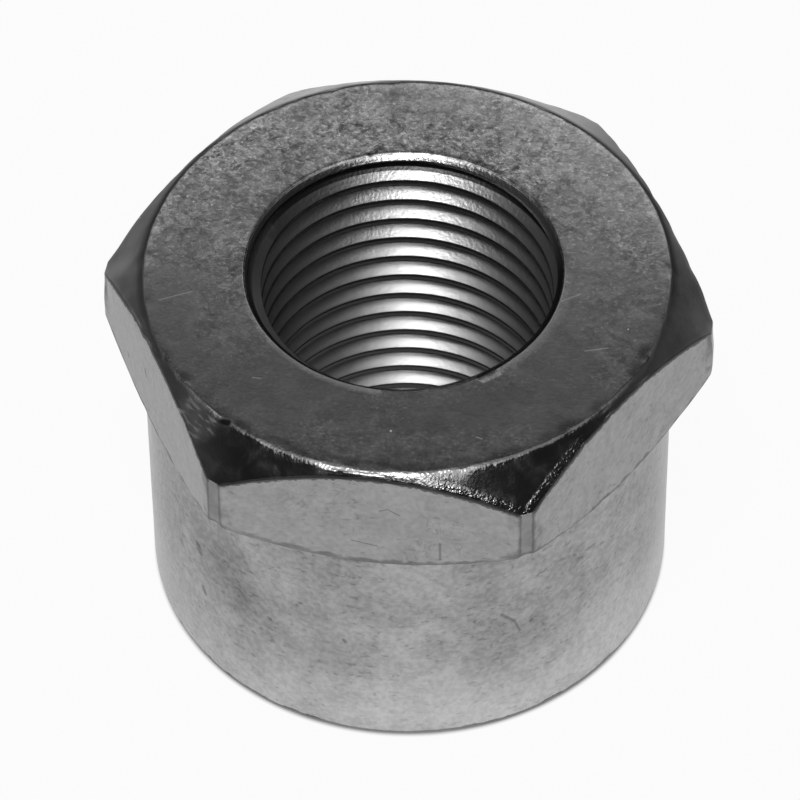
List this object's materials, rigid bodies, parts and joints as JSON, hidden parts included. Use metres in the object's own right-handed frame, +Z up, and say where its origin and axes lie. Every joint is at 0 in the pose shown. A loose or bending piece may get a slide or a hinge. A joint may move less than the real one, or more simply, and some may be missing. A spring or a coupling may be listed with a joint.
{
  "type": "lug nut",
  "caption": "Open-ended lug nut: short hexagon head with a coned crown and shoulder on a round skirt, threaded right through.",
  "frame": {"origin": "centre of the foot face, on the bore's axis", "axes": "+Z up the bore from the foot to the crown; two of the six flats face +Y and -Y"},
  "size_m": [0.0306, 0.027, 0.0204],
  "materials": {
    "plated_steel": "dull grey plating with a soft cloudy shine"
  },
  "bodies": {
    "root": {"lug_nut": "plated_steel"}
  },
  "joints": []
}
